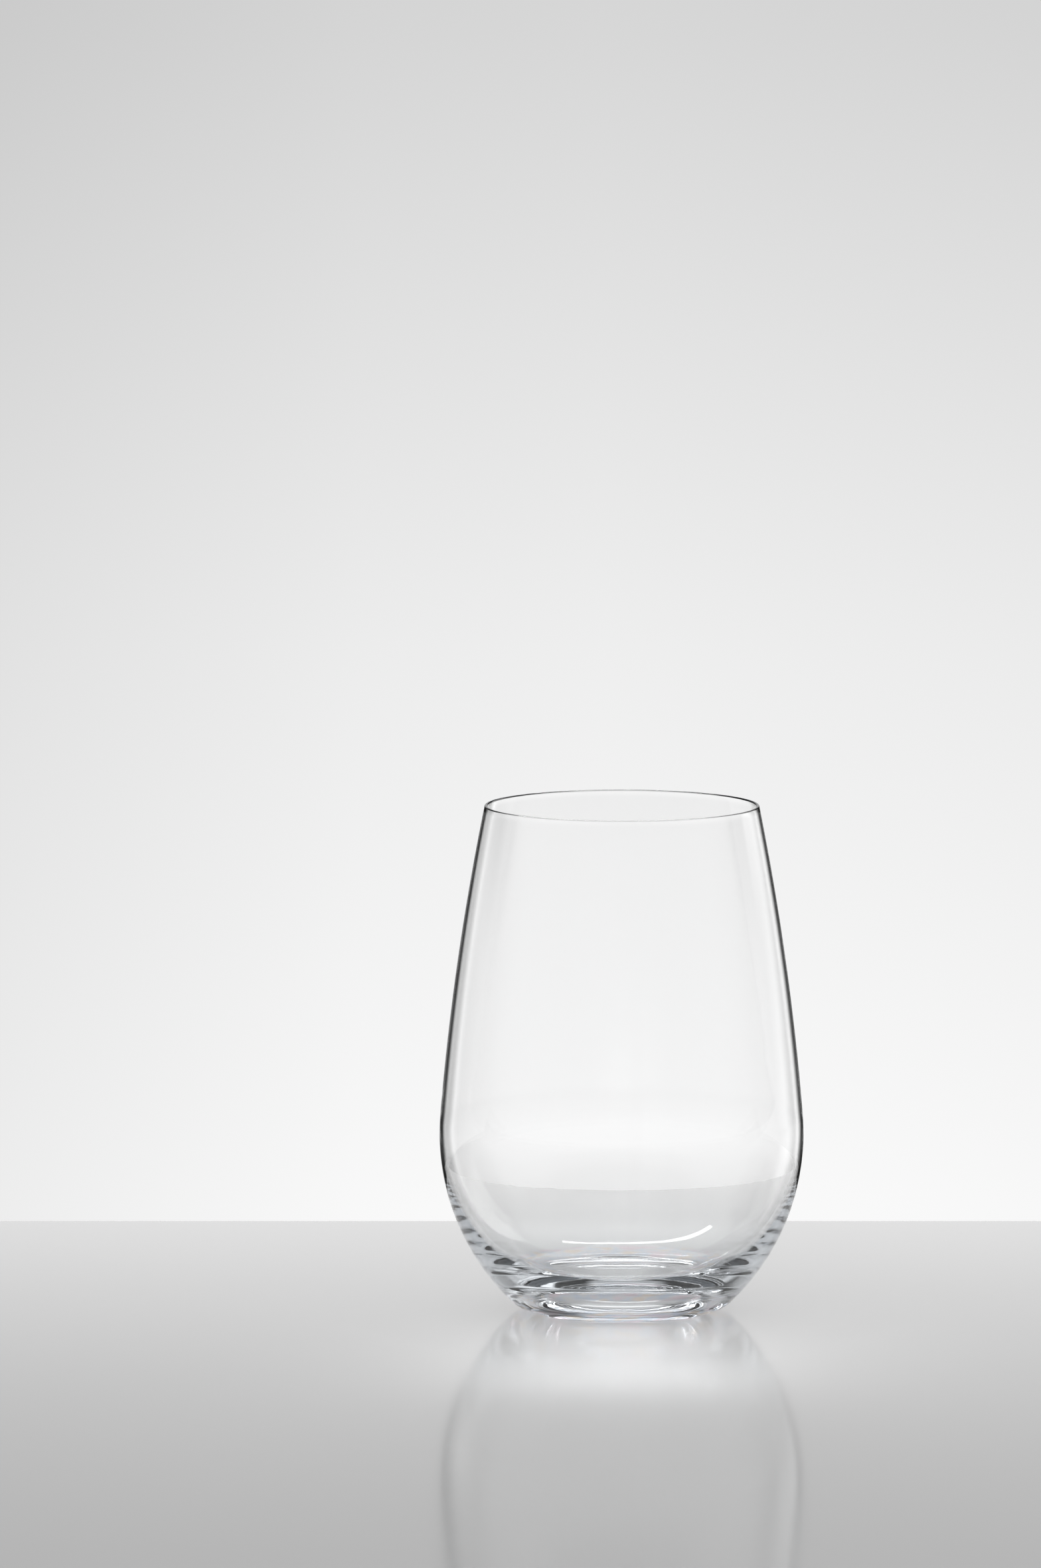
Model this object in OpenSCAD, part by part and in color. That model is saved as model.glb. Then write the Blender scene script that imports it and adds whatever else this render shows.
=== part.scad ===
// Stemless wine glass, made of one piece of clear glass: a thin bowl that draws in towards
// a fire-polished rim, and thickens downwards into a rounded heel round a gently dished floor.
// The floor is hollow underneath, so that the glass rests on a narrow flat ring.
// Millimetres, +Z up. The origin is on the table, at the centre of the resting ring.

/* [Bowl] */
// Height from the table to the top of the rim
glass_h = 108; // [92:0.5:130]
// Outer width across the rim
mouth_d = 58.4; // [50:0.2:68]
// Outer width at the widest place
belly_d = 77.6; // [70:0.2:90]
// Height of the widest place above the table
belly_h = 37.8; // [30:0.1:46]
// Radius of the long curve of the side, seen in section
side_r = 570; // [300:5:1500]

/* [Base] */
// Outer width of the flat resting ring
foot_d = 36.6; // [30:0.2:44]
// Radius of the rounded heel above the resting ring
heel_r = 8.2; // [4:0.1:11]
// Width of the flat resting ring
ring_w = 1.2; // [0.8:0.1:3]
// Radius of the soft inner edge of the resting ring
ring_edge_r = 0.6; // [0.3:0.1:3]
// Height of the hollow under the base
hollow_h = 1; // [0.4:0.1:2.2]

/* [Glass thickness] */
// Thickness of the glass at the rim
rim_wall = 0.65; // [0.5:0.05:1.6]
// Thickness of the wall at the widest place
belly_wall = 0.9; // [0.7:0.05:2.5]
// How far below the table the inside's lower curve would reach; less makes a thicker heel
inside_dip = 2.7; // [0:0.1:7]
// Height of the inner floor above the table, at the centre
floor_h = 4.8; // [2.4:0.1:9]
// Radius of the dished inner floor, seen in section
floor_r = 200; // [80:5:500]
// Radius of the curve between the inner floor and the wall
corner_r = 23.4; // [16:0.2:28]

/* [Hidden] */

// Most that a straight step of the outline may lie off the true curve
chord_error = 0.004;
// Steps round the axis
turn_steps = 120;
glass_tint = [0.90, 0.95, 0.96, 0.35];

// Centres of the arcs of the outline as [distance from the axis, height]. Neighbouring arcs
// are tangent, so each centre lies on the line through its neighbour and their common point.
rim_r = rim_wall / 2;
rim_c = [mouth_d / 2 - rim_r, glass_h - rim_r];
heel_c = [foot_d / 2, heel_r];

// The belly's arc is upright at the widest place and tangent to the heel's arc
belly_rise = belly_h - heel_r;
belly_reach = belly_d / 2 - foot_d / 2;
belly_r = (belly_reach^2 + belly_rise^2 - heel_r^2) / (2 * (belly_reach - heel_r));
belly_c = [belly_d / 2 - belly_r, belly_h];
side_c = meeting(belly_c, side_r - belly_r, rim_c, side_r - rim_r);

// The inside is widest at the same height, with a tighter curve, then turns into the floor
inner_belly_r = belly_h + inside_dip;
inner_belly_c = [belly_d / 2 - belly_wall - inner_belly_r, belly_h];
inner_side_r = side_r - rim_wall;
inner_side_c = meeting(inner_belly_c, inner_side_r - inner_belly_r, rim_c, inner_side_r + rim_r);
floor_c = [0, floor_h + floor_r];
corner_c = meeting(floor_c, floor_r - corner_r, inner_belly_c, inner_belly_r - corner_r);

// The hollow under the base is a shallow dome between the ring's soft inner edge
ring_in_r = foot_d / 2 - ring_w;
dome_and_edge_r = (ring_in_r^2 + hollow_h^2) / (2 * hollow_h);
dome_r = dome_and_edge_r - ring_edge_r;
dome_c = [0, hollow_h - dome_r];
ring_edge_c = [ring_in_r, ring_edge_r];

// Where the circles round a and b meet, to the left of the way from a to b
function meeting(a, a_r, b, b_r) =
    let (gap = norm(b - a))
    let (along = (gap^2 + a_r^2 - b_r^2) / (2 * gap))
    let (aside = sqrt(a_r^2 - along^2))
    let (way = (b - a) / gap)
    a + along * way + aside * [-way.y, way.x];

// Direction from one point to another, in degrees
function bearing(from, to) = atan2(to.y - from.y, to.x - from.x);

// Points along an arc, without its last one
function arc(centre, radius, from, to) =
    let (steps = ceil(abs(to - from) / (2 * acos(1 - chord_error / radius))))
    [for (i = [0:steps - 1])
        let (angle = from + (to - from) * i / steps)
        centre + radius * [cos(angle), sin(angle)]];

// Outside, from the resting ring up to the rim
function outer_outline() = concat(
    arc(heel_c, heel_r, -90, bearing(belly_c, heel_c)),
    arc(belly_c, belly_r, bearing(belly_c, heel_c), bearing(side_c, belly_c)),
    arc(side_c, side_r, bearing(side_c, belly_c), bearing(side_c, rim_c)));

// Over the rim, and down the inside to the middle of the floor
function inner_outline() = concat(
    arc(rim_c, rim_r, bearing(side_c, rim_c), bearing(inner_side_c, rim_c) + 180),
    arc(inner_side_c, inner_side_r, bearing(inner_side_c, rim_c), bearing(inner_side_c, inner_belly_c)),
    arc(inner_belly_c, inner_belly_r, bearing(inner_side_c, inner_belly_c), bearing(inner_belly_c, corner_c)),
    arc(corner_c, corner_r, bearing(inner_belly_c, corner_c), bearing(floor_c, corner_c)),
    arc(floor_c, floor_r, bearing(floor_c, corner_c), -90),
    [[0, floor_h]]);

// Under the base, from the middle of the hollow out to the flat of the resting ring
function under_outline() = concat(
    arc(dome_c, dome_r, 90, bearing(dome_c, ring_edge_c)),
    arc(ring_edge_c, ring_edge_r, bearing(ring_edge_c, dome_c), -90),
    [[ring_in_r, 0]]);

module wine_glass() {
    color(glass_tint)
        rotate_extrude($fn = turn_steps)
            polygon(concat(outer_outline(), inner_outline(), under_outline()));
}

wine_glass();
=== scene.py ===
"""Stemless wine glass on a pale glossy table top, in front of a soft studio background.

The glass is one piece. Its section is a chain of tangent arcs, and Geometry Nodes turn that
section round the axis into a closed wall of real thickness. Everything is in metres, in the
same frame as the CAD part: +Z up, the origin on the table at the centre of the resting ring.
"""
import logging
import math
from dataclasses import dataclass
from enum import Enum
from typing import Any, Mapping

import bpy
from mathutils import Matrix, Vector


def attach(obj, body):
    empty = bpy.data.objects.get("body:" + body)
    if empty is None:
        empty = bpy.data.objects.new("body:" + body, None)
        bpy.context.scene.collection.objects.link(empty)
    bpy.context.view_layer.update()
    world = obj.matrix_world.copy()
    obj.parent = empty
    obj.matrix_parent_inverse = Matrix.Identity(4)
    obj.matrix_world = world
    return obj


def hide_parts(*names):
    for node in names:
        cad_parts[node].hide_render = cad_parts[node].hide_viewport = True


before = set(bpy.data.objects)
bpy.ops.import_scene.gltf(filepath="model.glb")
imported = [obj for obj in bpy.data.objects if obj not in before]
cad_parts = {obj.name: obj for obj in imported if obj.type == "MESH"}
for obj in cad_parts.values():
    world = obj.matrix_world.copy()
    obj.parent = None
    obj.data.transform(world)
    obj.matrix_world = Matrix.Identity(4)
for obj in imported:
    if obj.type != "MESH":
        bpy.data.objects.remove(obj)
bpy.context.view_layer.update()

LOG = logging.getLogger("wine_glass")
MM = 0.001
PHOTO_W, PHOTO_H = 1568, 2361

# How often light may pass through or bounce off a surface before it is given up
BOUNCES = 40

# A display's tone curve: straight up to the knee, and a power above it
KNEE, SLOPE, LIFT, POWER = 0.04045, 12.92, 0.055, 2.4

Colour = tuple[float, float, float]
Edge = tuple[float, float]
Stops = tuple[tuple[float, float], ...]
ColourStops = tuple[tuple[float, Colour], ...]


class Duty(Enum):
    """What a lamp is there for."""

    SHINE = "seen in gloss and through glass, and lights no matt surface"
    FILL = "lights matt surfaces, casts no shadow and is seen nowhere"


def grey(level: float) -> float:
    """Linear light of a display grey.

    Args:
        level: The grey as a display shows it, from 0 to 255; above that it runs on.

    Returns:
        The linear value.
    """
    share = level / 255
    if share <= KNEE:
        return share / SLOPE
    return ((share + LIFT) / (1 + LIFT)) ** POWER


# Nodes as Python expressions


class Wire:
    """A node's output socket, which Python expressions turn into Math nodes."""

    def __init__(self, graph: "Graph", socket: bpy.types.NodeSocket) -> None:
        """Keeps the graph that adds nodes, and the socket."""
        self.graph = graph
        self.socket = socket

    def math(self, operation: str, *others: Any) -> "Wire":
        """Adds a Math node whose first value is this wire, and gives its result."""
        return self.graph.sum(operation, self, *others)

    def towards(self, other: Any, mask: "Wire") -> "Wire":
        """This wire where the mask is 0, the other value where it is 1."""
        return self * (1 - mask) + other * mask

    def __add__(self, other: Any) -> "Wire":
        """self + other."""
        return self.math("ADD", other)

    def __radd__(self, other: Any) -> "Wire":
        """other + self."""
        return self.math("ADD", other)

    def __sub__(self, other: Any) -> "Wire":
        """self - other."""
        return self.math("SUBTRACT", other)

    def __rsub__(self, other: Any) -> "Wire":
        """other - self."""
        return self.graph.sum("SUBTRACT", other, self)

    def __mul__(self, other: Any) -> "Wire":
        """self * other."""
        return self.math("MULTIPLY", other)

    def __rmul__(self, other: Any) -> "Wire":
        """other * self."""
        return self.math("MULTIPLY", other)

    def __truediv__(self, other: Any) -> "Wire":
        """self / other."""
        return self.math("DIVIDE", other)

    def __abs__(self) -> "Wire":
        """abs(self)."""
        return self.math("ABSOLUTE")


class Graph:
    """Adds nodes to one node tree."""

    def __init__(self, tree: bpy.types.NodeTree) -> None:
        """Keeps the tree and empties it."""
        self.tree = tree
        self.tree.nodes.clear()

    def node(self, kind: str, settings: Mapping[str, Any], sockets: Mapping[Any, Any],
             out: Any = 0) -> Wire:
        """Adds a node, sets its settings first, and then fills its input sockets.

        Args:
            kind: The node's type.
            settings: The node's own properties by name.
            sockets: Wires or values by the input's name or number.
            out: The name or number of the output that is wanted.

        Returns:
            That output.
        """
        made = self.tree.nodes.new(kind)
        for name, value in settings.items():
            setattr(made, name, value)
        for key, value in sockets.items():
            if isinstance(value, Wire):
                self.tree.links.new(value.socket, made.inputs[key])
            else:
                made.inputs[key].default_value = value
        return Wire(self, made.outputs[out] if len(made.outputs) else None)

    def sum(self, operation: str, *values: Any) -> Wire:
        """Adds a Math node on wires and numbers, in order, and gives its result."""
        return self.node("ShaderNodeMath", {"operation": operation}, dict(enumerate(values)))

    def split(self, vector: Wire) -> tuple[Wire, Wire, Wire]:
        """Takes a vector apart.

        Args:
            vector: The vector.

        Returns:
            Its three numbers.
        """
        first = self.node("ShaderNodeSeparateXYZ", {}, {0: vector})
        outputs = first.socket.node.outputs
        return first, Wire(self, outputs[1]), Wire(self, outputs[2])

    def soft_step(self, value: Wire, start: float, end: float) -> Wire:
        """0 before start, 1 after end, and a smooth rise between them.

        Args:
            value: The wire that is tested.
            start: Where the rise starts; it may lie above end.
            end: Where the rise ends.

        Returns:
            A wire from 0 to 1.
        """
        low, high = (0.0, 1.0) if start < end else (1.0, 0.0)
        return self.node("ShaderNodeMapRange", {"interpolation_type": "SMOOTHSTEP"},
                         {0: value, 1: min(start, end), 2: max(start, end), 3: low, 4: high})

    def curve(self, value: Wire, stops: Stops) -> Wire:
        """Straight lines from stop to stop, level before the first and after the last.

        Args:
            value: The wire that runs along the curve.
            stops: (value, result) pairs in rising order.

        Returns:
            The curve's result.
        """
        start, end = stops[0][0], stops[-1][0]
        top = max(result for _, result in stops)
        result = self.node("ShaderNodeFloatCurve", {}, {"Value": (value - start) / (end - start)})
        mapping = result.socket.node.mapping
        mapping.extend = "HORIZONTAL"
        points = mapping.curves[0].points
        shares = [((place - start) / (end - start), level / top) for place, level in stops]
        points[0].location, points[1].location = shares[0], shares[-1]
        for share in shares[1:-1]:
            points.new(*share)
        for point in points:
            point.handle_type = "VECTOR"
        mapping.update()
        return result * top

    def ramp(self, value: Wire, stops: ColourStops) -> Wire:
        """A row of colours that run into each other.

        Args:
            value: The wire that runs along the row.
            stops: (value, colour) pairs in rising order.

        Returns:
            The colour.
        """
        result = self.node("ShaderNodeValToRGB", {}, {0: value})
        elements = result.socket.node.color_ramp.elements
        elements[0].position, elements[0].color = stops[0][0], (*stops[0][1], 1.0)
        elements[1].position, elements[1].color = stops[-1][0], (*stops[-1][1], 1.0)
        for place, colour in stops[1:-1]:
            elements.new(place).color = (*colour, 1.0)
        return result

    def mixed(self, mask: Wire, first: Any, second: Any) -> Wire:
        """The first colour where the mask is 0, the second where it is 1."""
        return self.node("ShaderNodeMix", {"data_type": "RGBA"}, {0: mask, 6: first, 7: second}, 2)

    def noise(self, place: Wire, pitch: float, detail: float, roughness: float = 0.5) -> Wire:
        """Soft random patches.

        Args:
            place: Where the pattern is read.
            pitch: The size of a patch.
            detail: How many finer layers are added.
            roughness: How strong each finer layer is.

        Returns:
            A wire from 0 to 1.
        """
        return self.node("ShaderNodeTexNoise", {"noise_dimensions": "3D"}, {
            "Vector": place, "Scale": 1 / pitch, "Detail": detail, "Roughness": roughness})

    def laid_round(self, place: Wire, share: float) -> Wire:
        """Squeezes a place sideways, so that a pattern on it runs round the upright axis.

        Args:
            place: The place.
            share: How much of the sideways distance is left.

        Returns:
            The squeezed place.
        """
        across, depth, height = self.split(place)
        return self.node("ShaderNodeCombineXYZ", {}, {0: across * share, 1: depth * share, 2: height})


# The glass


@dataclass
class GlassSection:
    """Half section of the glass, as [distance from the axis, height] in metres.

    Neighbouring arcs are tangent, so each centre lies on the line through its neighbour and
    their common point.
    """

    glass_h: float = 108 * MM
    mouth_d: float = 58.4 * MM
    belly_d: float = 77.6 * MM
    belly_h: float = 37.8 * MM
    side_r: float = 570 * MM
    foot_d: float = 36.6 * MM
    heel_r: float = 8.2 * MM
    ring_w: float = 1.2 * MM
    ring_edge_r: float = 0.6 * MM
    hollow_h: float = 1 * MM
    rim_wall: float = 0.65 * MM
    belly_wall: float = 0.9 * MM
    inside_dip: float = 2.7 * MM
    floor_h: float = 4.8 * MM
    floor_r: float = 200 * MM
    corner_r: float = 23.4 * MM
    chord_error: float = 0.001 * MM
    longest_step: float = 1.2 * MM
    ring_steps: int = 8

    @staticmethod
    def meeting(first: Vector, first_r: float, second: Vector, second_r: float) -> Vector:
        """Where two circles meet, to the left of the way from the first to the second.

        Args:
            first: The first circle's centre.
            first_r: Its radius.
            second: The second circle's centre.
            second_r: Its radius.

        Returns:
            The meeting point.
        """
        way = second - first
        gap = way.length
        along = (gap ** 2 + first_r ** 2 - second_r ** 2) / (2 * gap)
        aside = math.sqrt(first_r ** 2 - along ** 2)
        way /= gap
        return first + along * way + aside * Vector((-way.y, way.x))

    @staticmethod
    def bearing(start: Vector, end: Vector) -> float:
        """Direction from one point to another, in radians."""
        return math.atan2(end.y - start.y, end.x - start.x)

    def arc(self, centre: Vector, radius: float, start: float, end: float) -> list[Vector]:
        """Points along an arc, without its last one.

        Args:
            centre: The arc's centre.
            radius: Its radius.
            start: The bearing of its first point.
            end: The bearing of its last point.

        Returns:
            The points.
        """
        turn = 2 * math.acos(1 - self.chord_error / radius)
        turn = min(turn, self.longest_step / radius)
        steps = math.ceil(abs(end - start) / turn)
        angles = [start + (end - start) * i / steps for i in range(steps)]
        return [centre + radius * Vector((math.cos(a), math.sin(a))) for a in angles]

    def points(self) -> list[Vector]:
        """The section from the middle of the hollow, outside, over the rim, to the inner floor.

        Returns:
            The points.
        """
        arc, bearing, meeting, quarter = self.arc, self.bearing, self.meeting, math.pi / 2
        rim_r = self.rim_wall / 2
        rim_c = Vector((self.mouth_d / 2 - rim_r, self.glass_h - rim_r))
        heel_c = Vector((self.foot_d / 2, self.heel_r))

        # The belly's arc is upright at the widest place and tangent to the heel's arc
        rise, reach = self.belly_h - self.heel_r, self.belly_d / 2 - self.foot_d / 2
        belly_r = (reach ** 2 + rise ** 2 - self.heel_r ** 2) / (2 * (reach - self.heel_r))
        belly_c = Vector((self.belly_d / 2 - belly_r, self.belly_h))
        side_c = meeting(belly_c, self.side_r - belly_r, rim_c, self.side_r - rim_r)

        # The inside is widest at the same height, with a tighter curve, then turns into the floor
        inner_r = self.belly_h + self.inside_dip
        inner_c = Vector((self.belly_d / 2 - self.belly_wall - inner_r, self.belly_h))
        inner_side_r = self.side_r - self.rim_wall
        inner_side_c = meeting(inner_c, inner_side_r - inner_r, rim_c, inner_side_r + rim_r)
        floor_c = Vector((0.0, self.floor_h + self.floor_r))
        corner_c = meeting(floor_c, self.floor_r - self.corner_r, inner_c, inner_r - self.corner_r)

        # The hollow under the base is a shallow dome inside the ring's soft inner edge
        ring_in_r = self.foot_d / 2 - self.ring_w
        dome_r = (ring_in_r ** 2 + self.hollow_h ** 2) / (2 * self.hollow_h) - self.ring_edge_r
        dome_c = Vector((0.0, self.hollow_h - dome_r))
        edge_c = Vector((ring_in_r, self.ring_edge_r))
        ring = [Vector((ring_in_r + self.ring_w * i / self.ring_steps, 0.0))
                for i in range(self.ring_steps)]
        return (
            arc(dome_c, dome_r, quarter, bearing(dome_c, edge_c))
            + arc(edge_c, self.ring_edge_r, bearing(edge_c, dome_c), -quarter)
            + ring
            + arc(heel_c, self.heel_r, -quarter, bearing(belly_c, heel_c))
            + arc(belly_c, belly_r, bearing(belly_c, heel_c), bearing(side_c, belly_c))
            + arc(side_c, self.side_r, bearing(side_c, belly_c), bearing(side_c, rim_c))
            + arc(rim_c, rim_r, bearing(side_c, rim_c), bearing(inner_side_c, rim_c) + math.pi)
            + arc(inner_side_c, inner_side_r, bearing(inner_side_c, rim_c), bearing(inner_side_c, inner_c))
            + arc(inner_c, inner_r, bearing(inner_side_c, inner_c), bearing(inner_c, corner_c))
            + arc(corner_c, self.corner_r, bearing(inner_c, corner_c), bearing(floor_c, corner_c))
            + arc(floor_c, self.floor_r, bearing(floor_c, corner_c), -quarter)
            + [Vector((0.0, self.floor_h))]
        )


@dataclass(frozen=True)
class ClearGlass:
    """Clear blown glass: fire-polished, faintly ribbed by its turning mould, worn on its ring.

    Ribs and waves are relief, by pitch and depth. The ribs are full up to ribs_full, and above
    ribs_top only the share ribs_left of them is left. The tint fades out from tint_full up to
    tint_top. The foot's colour fringes are painted light, split light painted into the colour;
    they fade out from fringe_full up to fringe_top.
    """

    ior: float = 1.52
    body: Colour = (0.60, 0.63, 0.66)
    density: float = 19.0
    tint: Colour = (0.975, 0.985, 0.99)
    tint_full: float = 6 * MM
    tint_top: float = 24 * MM

    rib_pitch: float = 1.9 * MM
    rib_depth: float = 0.0055 * MM
    rib_squeeze: float = 0.12
    rib_detail: float = 2.0
    rib_roughness: float = 0.45
    ribs_full: float = 20.4 * MM
    ribs_top: float = 34 * MM
    ribs_left: float = 0.12
    wave_pitch: float = 14 * MM
    wave_depth: float = 0.006 * MM
    wave_detail: float = 1.0

    scuff: float = 0.22
    scuff_top: float = 0.12 * MM
    scratch_pitch: float = 0.35 * MM
    scratch_detail: float = 3.0
    scratch_roughness: float = 0.7
    scratch_edge: Edge = (0.42, 0.62)

    # Painted light: the foot's colour fringes, split light painted into the colour
    fringe_pitch: float = 1.1 * MM
    fringe_squeeze: float = 0.2
    fringe_detail: float = 1.0
    fringe_full: float = 2.28 * MM
    fringe_top: float = 3.8 * MM
    fringe_edge: Edge = (16 * MM, 17 * MM)
    painted_fringes: ColourStops = (
        (0.36, (1.0, 0.78, 0.60)), (0.43, (1.0, 0.98, 0.96)), (0.50, (0.64, 0.78, 1.0)),
        (0.57, (0.97, 0.98, 1.0)), (0.64, (1.0, 0.76, 0.85)))

    def marks(self, graph: Graph, place: Wire, height: Wire) -> Wire:
        """Marks of the mould, which turns round the glass, so they run round the wall.

        Args:
            graph: The material's graph.
            place: The place on the glass.
            height: The height of that place.

        Returns:
            The surface's normal.
        """
        turned = graph.laid_round(place, self.rib_squeeze)
        ribs = graph.noise(turned, self.rib_pitch, self.rib_detail, self.rib_roughness)
        waves = graph.noise(place, self.wave_pitch, self.wave_detail)
        low_down = graph.soft_step(height, self.ribs_top, self.ribs_full)
        strength = self.ribs_left + (1 - self.ribs_left) * low_down
        relief = ribs * self.rib_depth * strength + waves * self.wave_depth
        return graph.node("ShaderNodeBump", {}, {"Strength": 1.0, "Distance": 1.0, "Height": relief})

    def wear(self, graph: Graph, place: Wire, height: Wire) -> Wire:
        """Fine scratches where the resting ring has stood on tables.

        Args:
            graph: The material's graph.
            place: The place on the glass.
            height: The height of that place.

        Returns:
            The surface's roughness.
        """
        grain = graph.noise(place, self.scratch_pitch, self.scratch_detail, self.scratch_roughness)
        scratched = graph.soft_step(grain, *self.scratch_edge)
        return graph.soft_step(height, self.scuff_top, 0.0) * scratched * self.scuff

    def colour(self, graph: Graph, place: Wire) -> Wire:
        """A breath of cool tint low down, and painted colour fringes on the foot.

        A real foot shows such fringes because its glass splits the light; here that split light is painted
        into the colour.

        Args:
            graph: The material's graph.
            place: The place on the glass.

        Returns:
            The surface's colour.
        """
        across, depth, height = graph.split(place)
        thick = graph.soft_step(height, self.tint_top, self.tint_full)
        plain = graph.mixed(thick, (1.0, 1.0, 1.0, 1.0), (*self.tint, 1.0))
        # Painted colour fringes of split light, low down round the foot's resting ring
        turned = graph.laid_round(place, self.fringe_squeeze)
        hue = graph.noise(turned, self.fringe_pitch, self.fringe_detail)
        off_axis = (across * across + depth * depth).math("SQRT")
        foot = graph.soft_step(height, self.fringe_top, self.fringe_full)
        foot = foot * graph.soft_step(off_axis, *self.fringe_edge)
        return graph.mixed(foot, plain, graph.ramp(hue, self.painted_fringes))

    def material(self) -> bpy.types.Material:
        """Builds the material.

        Returns:
            The glass material, on Object coordinates.
        """
        made = bpy.data.materials.new("clear_glass")
        made.use_nodes = True
        graph = Graph(made.node_tree)
        place = graph.node("ShaderNodeTexCoord", {}, {}, "Object")
        _, _, height = graph.split(place)
        surface = graph.node("ShaderNodeBsdfPrincipled", {}, {
            "Base Color": self.colour(graph, place), "Roughness": self.wear(graph, place, height),
            "Normal": self.marks(graph, place, height), "IOR": self.ior, "Transmission Weight": 1.0})
        body = graph.node("ShaderNodeVolumeAbsorption", {}, {
            "Color": (*self.body, 1.0), "Density": self.density})
        graph.node("ShaderNodeOutputMaterial", {}, {"Surface": surface, "Volume": body})
        return made


@dataclass
class WineGlass:
    """The glass, turned from its section as one closed wall."""

    section: GlassSection
    finish: ClearGlass
    turn_steps: int = 256
    merge_within: float = 1e-7
    node: str = "wine_glass"
    name: str = "blown_glass"

    def outline(self) -> bpy.types.Object:
        """The section as a chain of edges.

        Returns:
            An object whose mesh holds only the chain.
        """
        places = [(point.x, 0.0, point.y) for point in self.section.points()]
        mesh = bpy.data.meshes.new(self.name)
        mesh.from_pydata(places, [(i, i + 1) for i in range(len(places) - 1)], [])
        made = bpy.data.objects.new(self.name, mesh)
        bpy.context.scene.collection.objects.link(made)
        return made

    def turning_tree(self) -> bpy.types.NodeTree:
        """Geometry Nodes that turn an outline round Z and close it at the axis.

        Returns:
            The tree, with named inputs for its sizes.
        """
        tree = bpy.data.node_groups.new("turned_wall", "GeometryNodeTree")
        graph = Graph(tree)
        for name, kind in (("Outline", "NodeSocketGeometry"), ("Turn steps", "NodeSocketInt"),
                           ("Merge within", "NodeSocketFloat"), ("Glass", "NodeSocketMaterial")):
            tree.interface.new_socket(name, in_out="INPUT", socket_type=kind)
        tree.interface.new_socket("Wall", in_out="OUTPUT", socket_type="NodeSocketGeometry")
        sockets = graph.node("NodeGroupInput", {}, {}).socket.node.outputs
        given = {socket.name: Wire(graph, socket) for socket in sockets if socket.name}
        outline, steps, within = given["Outline"], given["Turn steps"], given["Merge within"]

        # A grid with one row for each point of the outline and one column for each step
        columns = steps + 1
        rows = graph.node("GeometryNodeAttributeDomainSize", {"component": "MESH"}, {0: outline})
        grid = graph.node("GeometryNodeMeshGrid", {}, {"Vertices X": rows, "Vertices Y": columns})
        index = graph.node("GeometryNodeInputIndex", {}, {})
        row = ((index + 0.5) / columns).math("FLOOR")
        column = index - row * columns
        position = graph.node("GeometryNodeInputPosition", {}, {})
        point = graph.node("GeometryNodeSampleIndex", {"data_type": "FLOAT_VECTOR", "domain": "POINT"},
                           {0: outline, "Value": position, "Index": row})
        radius, _, height = graph.split(point)
        turn = column * (2 * math.pi) / steps
        place = graph.node("ShaderNodeCombineXYZ", {}, {
            0: radius * turn.math("COSINE"), 1: radius * turn.math("SINE"), 2: height})
        wall = graph.node("GeometryNodeSetPosition", {}, {0: grid, "Position": place})

        # The seam's two columns, and each row on the axis, become one
        first, last = column.math("LESS_THAN", 0.5), column.math("GREATER_THAN", steps - 0.5)
        doubled = graph.sum("MAXIMUM", first, last)
        doubled = graph.sum("MAXIMUM", doubled, radius.math("LESS_THAN", within))
        wall = graph.node("GeometryNodeMergeByDistance", {},
                          {0: wall, "Selection": doubled, "Distance": within})
        wall = graph.node("GeometryNodeFlipFaces", {}, {0: wall})
        wall = graph.node("GeometryNodeSetShadeSmooth", {}, {0: wall, "Shade Smooth": True})
        wall = graph.node("GeometryNodeRealizeInstances", {}, {0: wall})
        wall = graph.node("GeometryNodeSetMaterial", {}, {0: wall, "Material": given["Glass"]})
        graph.node("NodeGroupOutput", {}, {0: wall})
        return tree

    def build(self) -> bpy.types.Object:
        """Turns the outline and makes the result a plain mesh.

        Returns:
            The glass piece.
        """
        source = self.outline()
        tree = self.turning_tree()
        modifier = source.modifiers.new("turned", "NODES")
        modifier.node_group = tree
        given = {"Turn steps": self.turn_steps, "Merge within": self.merge_within,
                 "Glass": self.finish.material()}
        for item in tree.interface.items_tree:
            if item.in_out == "INPUT" and item.name in given:
                modifier[item.identifier] = given[item.name]
        depsgraph = bpy.context.evaluated_depsgraph_get()
        mesh = bpy.data.meshes.new_from_object(source.evaluated_get(depsgraph), depsgraph=depsgraph)
        source.modifiers.clear()
        chain, source.data = source.data, mesh
        bpy.data.meshes.remove(chain)
        mesh.name = self.name
        self.dress(source)
        return source

    def dress(self, piece: bpy.types.Object) -> None:
        """Ties the piece to the CAD model.

        Args:
            piece: The finished glass.
        """
        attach(piece, "root")
        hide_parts(self.node)


# The stage


@dataclass(frozen=True)
class PaleLacquer:
    """The table's smooth pale lacquer with a soft gloss."""

    albedo: float = 0.38
    roughness: float = 0.12
    ior: float = 1.5

    def material(self) -> bpy.types.Material:
        """Builds the material.

        Returns:
            The table's material.
        """
        made = bpy.data.materials.new("table_lacquer")
        made.use_nodes = True
        graph = Graph(made.node_tree)
        surface = graph.node("ShaderNodeBsdfPrincipled", {}, {
            "Base Color": (self.albedo, self.albedo, self.albedo, 1.0),
            "Roughness": self.roughness, "IOR": self.ior})
        graph.node("ShaderNodeOutputMaterial", {}, {"Surface": surface})
        return made


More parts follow.
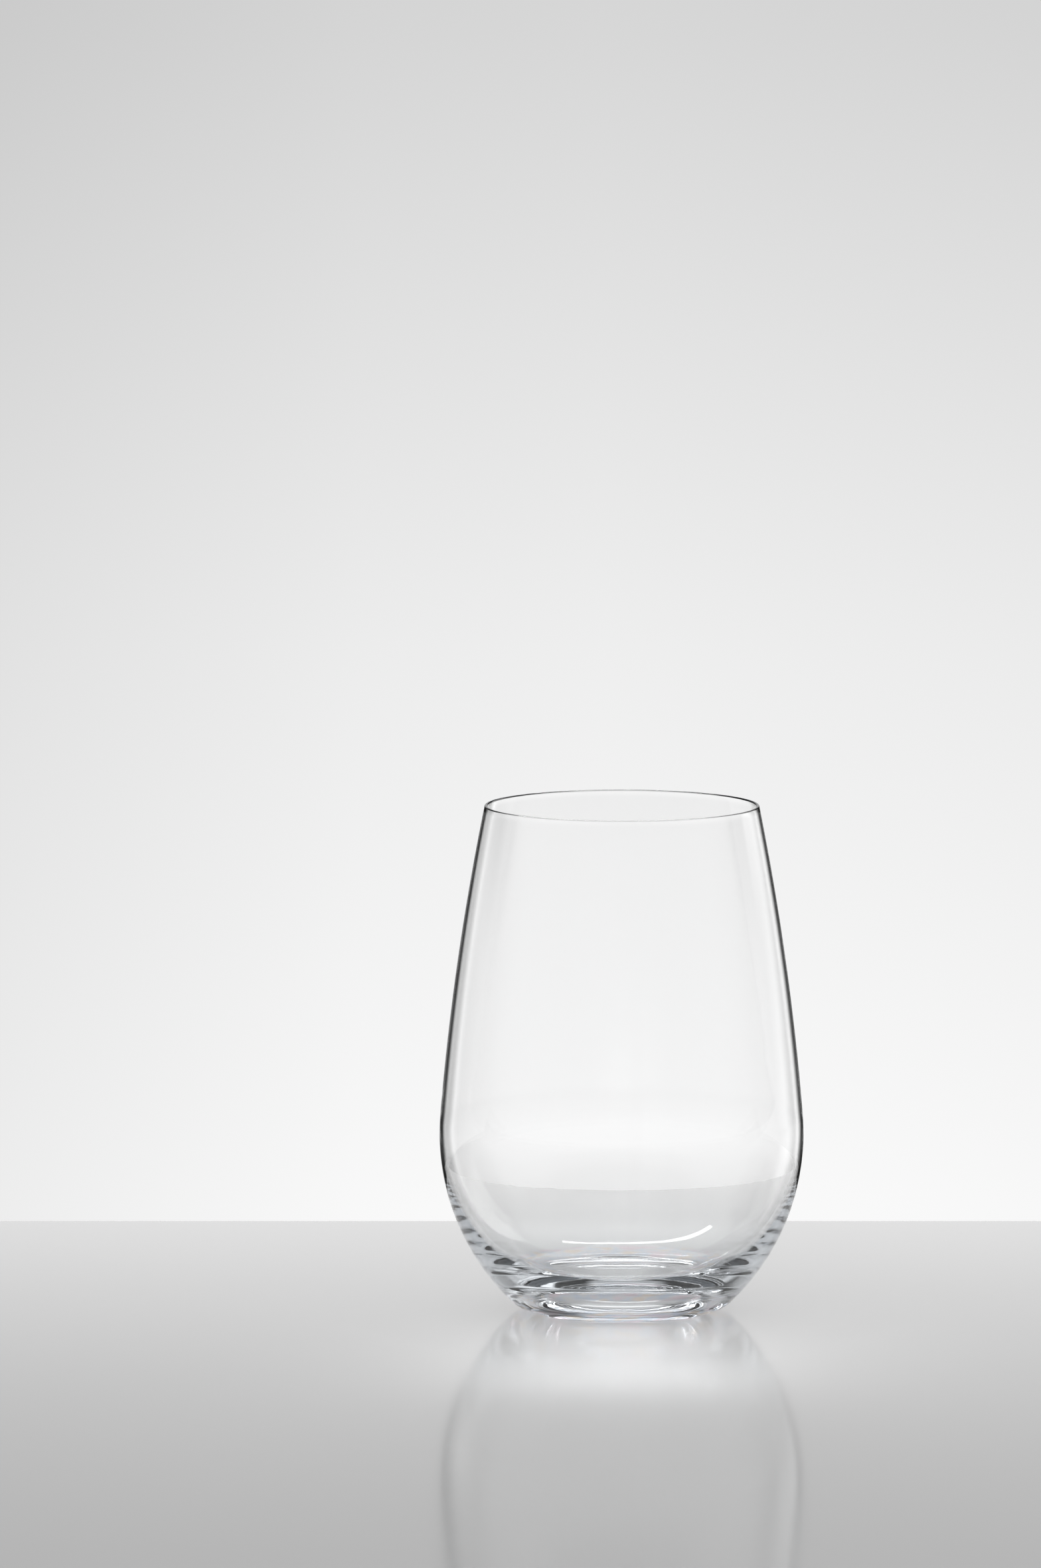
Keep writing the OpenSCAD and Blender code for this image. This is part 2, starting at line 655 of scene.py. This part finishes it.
@dataclass
class TableTop:
    """A table top that ends a short way behind the glass, and is turned as the camera is."""

    turned: float
    finish: PaleLacquer
    back: float = 117.6 * MM
    front: float = 2.5
    half_width: float = 1.5
    thickness: float = 12 * MM
    clearance: float = 0.05 * MM

    def build(self) -> bpy.types.Object:
        """Makes the slab, a hair under the glass.

        Returns:
            The stage object.
        """
        top = -self.clearance
        corners = [(-self.half_width, -self.front), (self.half_width, -self.front),
                   (self.half_width, self.back), (-self.half_width, self.back)]
        cos, sin = math.cos(self.turned), math.sin(self.turned)
        corners = [(x * cos - y * sin, x * sin + y * cos) for x, y in corners]
        places = [(x, y, z) for z in (top, top - self.thickness) for x, y in corners]
        faces = [(0, 1, 2, 3), (7, 6, 5, 4), (0, 4, 5, 1), (1, 5, 6, 2), (2, 6, 7, 3), (3, 7, 4, 0)]
        mesh = bpy.data.meshes.new("table_top")
        mesh.from_pydata(places, [], faces)
        made = bpy.data.objects.new("table_top", mesh)
        bpy.context.scene.collection.objects.link(made)
        mesh.materials.append(self.finish.material())
        return made


@dataclass(frozen=True)
class StripLight:
    """A rectangular light that faces straight down, turned about the vertical by radians.

    The size is its width across and its depth. A radiance of 1 is a white wall.
    """

    name: str
    duty: Duty
    place: tuple[float, float, float]
    size: tuple[float, float]
    radiance: float
    turn: float = 0.0

    def build(self) -> bpy.types.Object:
        """Adds the light.

        Returns:
            The lamp.
        """
        lamp = bpy.data.lights.new(self.name, "AREA")
        lamp.shape = "RECTANGLE"
        lamp.size, lamp.size_y = self.size
        lamp.energy = self.radiance * math.pi * self.size[0] * self.size[1]
        made = bpy.data.objects.new(self.name, lamp)
        made.location = self.place
        made.rotation_euler = (0.0, 0.0, self.turn)
        if self.duty is Duty.SHINE:
            made.visible_diffuse = False
        else:
            lamp.use_shadow = False
            made.visible_camera = made.visible_glossy = made.visible_transmission = False
        bpy.context.scene.collection.objects.link(made)
        return made


@dataclass
class Studio:
    """A bright backdrop between two black flags, a white tent all round, and lamps overhead.

    Directions are in degrees: azimuth 0 is behind the glass and rises to the right, elevation
    0 is the horizon. A tone of 1 is a white wall. Each edge is where a change starts and ends.
    """

    turned: float

    # Low down: the backdrop's light by elevation and by azimuth, where the flags take over on
    # either side of it, and the tent with the flags in front of it
    rise: Stops = (
        (-90, grey(150)), (-30, grey(205)), (-9.1, grey(251)), (-5.5, grey(238)), (-1.7, grey(214)),
        (6, grey(190)))
    fall: Stops = (
        (-10, 0.66), (-6, 0.74), (-3.1, 0.89), (-1, 0.98), (0.5, 1.0), (3.1, 0.975), (4.5, 0.98),
        (5.5, 1.12), (6.5, 1.2), (8, 1.2), (11, 1.0))
    flagged: Stops = ((6, 0.0), (8, 0.4), (10, 0.75), (12, 1.0))
    tent: Stops = (
        (-180, 1.0), (-110, 1.0), (-80, 0.95), (-59, 0.9), (-48, 0.87), (-37, 0.85), (-29, 0.7),
        (-21, 0.03), (20, 0.03), (26, 0.5), (30, 1.3), (33, 1.65), (37, 1.2), (42, 0.85),
        (52, 0.75), (80, 0.85), (110, 1.0), (180, 1.0))

    # Higher up: a wide flag on the left, a narrow one and a soft box on the right, dim behind
    middle: Stops = (
        (-180, 0.35), (-135, 0.5), (-120, 0.85), (-86, 0.85), (-79, 0.4), (-70, 0.4), (-62, 0.03),
        (-17, 0.03), (-12, 0.6), (0, 0.66), (10, 0.66), (14, 0.03), (28, 0.03), (31, 1.7),
        (46, 1.7), (50, 1.35), (58, 1.35), (63, 0.4), (79, 0.4), (86, 0.9), (120, 0.85),
        (135, 0.5), (180, 0.35))
    middle_edge: Edge = (0.0, 7.0)
    behind_edge: Edge = (70.0, 110.0)
    behind_lift: float = 14.0
    ceiling_edge: Edge = (28.0, 36.0)
    ceiling_tone: float = 0.64

    # A tall narrow panel behind the glass, over the backdrop
    panel_side: Edge = (13.0, 10.0)
    panel_bottom: Edge = (18.0, 24.0)
    panel_top: Edge = (68.0, 62.0)
    panel_tone: float = 1.5

    lamps: tuple[StripLight, ...] = (
        StripLight("overhead_strip", Duty.SHINE, (-0.14, 0.365, 0.60), (0.70, 0.07), 17.0, 0.17),
        StripLight("table_wash", Duty.FILL, (0.0, 0.24, 0.36), (0.90, 0.20), 7.5),
        StripLight("foot_pool", Duty.FILL, (0.0, -0.045, 0.03), (0.045, 0.11), 2.2))

    def tone(self, graph: Graph) -> Wire:
        """The light that comes from each direction.

        Args:
            graph: The world's graph.

        Returns:
            The tone of the direction.
        """
        x, y, z = graph.split(graph.node("ShaderNodeTexCoord", {}, {}, "Generated"))
        cos, sin = math.cos(self.turned), math.sin(self.turned)
        azimuth = (x * cos + y * sin).math("ARCTAN2", y * cos - x * sin) * (180 / math.pi)
        elevation = z.math("ARCSINE") * (180 / math.pi)
        aside = abs(azimuth)
        backdrop = graph.curve(elevation, self.rise) * graph.curve(azimuth, self.fall)
        low = backdrop.towards(graph.curve(azimuth, self.tent), graph.curve(aside, self.flagged))

        # The middle starts at the horizon behind the glass, and higher up behind the camera
        behind = graph.soft_step(aside, *self.behind_edge)
        above = graph.soft_step(elevation - behind * self.behind_lift, *self.middle_edge)
        light = low.towards(graph.curve(azimuth, self.middle), above)
        light = light.towards(self.ceiling_tone, graph.soft_step(elevation, *self.ceiling_edge))
        panel = graph.soft_step(aside, *self.panel_side) * graph.soft_step(elevation, *self.panel_bottom)
        panel = panel * graph.soft_step(elevation, *self.panel_top)
        return light.towards(self.panel_tone, panel)

    def build(self) -> None:
        """Makes the surroundings, which light the scene by direction, and the lamps."""
        world = bpy.data.worlds.new("studio")
        bpy.context.scene.world = world
        world.use_nodes = True
        graph = Graph(world.node_tree)
        background = graph.node("ShaderNodeBackground", {}, {"Color": self.tone(graph), "Strength": 1.0})
        graph.node("ShaderNodeOutputWorld", {}, {"Surface": background})
        for lamp in self.lamps:
            lamp.build()


@dataclass
class PhotoCamera:
    """The photograph's view: a long lens, a little above the glass, no shift and no blur.

    It stands at a distance and height from the origin and looks down by its pitch, in radians.
    The lens is in pixels of the photograph, and axis_px is the column where the glass's axis is.
    """

    distance: float = 1.984
    height: float = 0.3358
    pitch: float = 0.1121
    focal_px: float = 14180.0
    axis_px: float = 937.8
    sensor_mm: float = 36.0
    nearest: float = 0.01
    farthest: float = 100.0

    @property
    def turned(self) -> float:
        """How far the camera looks past the glass, in radians."""
        return math.atan((self.axis_px - PHOTO_W / 2) / self.focal_px)

    def build(self) -> bpy.types.Object:
        """Makes the scene's camera.

        Returns:
            The camera.
        """
        data = bpy.data.cameras.new("camera")
        data.sensor_fit, data.sensor_width = "AUTO", self.sensor_mm
        data.lens = self.focal_px / PHOTO_H * data.sensor_width
        data.clip_start, data.clip_end = self.nearest, self.farthest
        made = bpy.data.objects.new("camera", data)
        made.location = (0.0, -self.distance, self.height)
        made.rotation_euler = (math.pi / 2 - self.pitch, 0.0, self.turned)
        bpy.context.scene.collection.objects.link(made)
        bpy.context.scene.camera = made
        return made


def main() -> None:
    """Builds the camera, the glass, the table and the light."""
    logging.basicConfig(level=logging.INFO, format="%(name)s: %(message)s")
    scene = bpy.context.scene
    scene.view_settings.view_transform = "Standard"
    scene.cycles.max_bounces = scene.cycles.transmission_bounces = BOUNCES
    scene.cycles.glossy_bounces = BOUNCES
    camera = PhotoCamera()
    camera.build()
    glass = WineGlass(GlassSection(), ClearGlass()).build()
    LOG.info("%s: %d faces, rides on root", glass.name, len(glass.data.polygons))
    table = TableTop(camera.turned, PaleLacquer()).build()
    LOG.info("%s: stage", table.name)
    Studio(camera.turned).build()


if __name__ == "__main__":
    main()
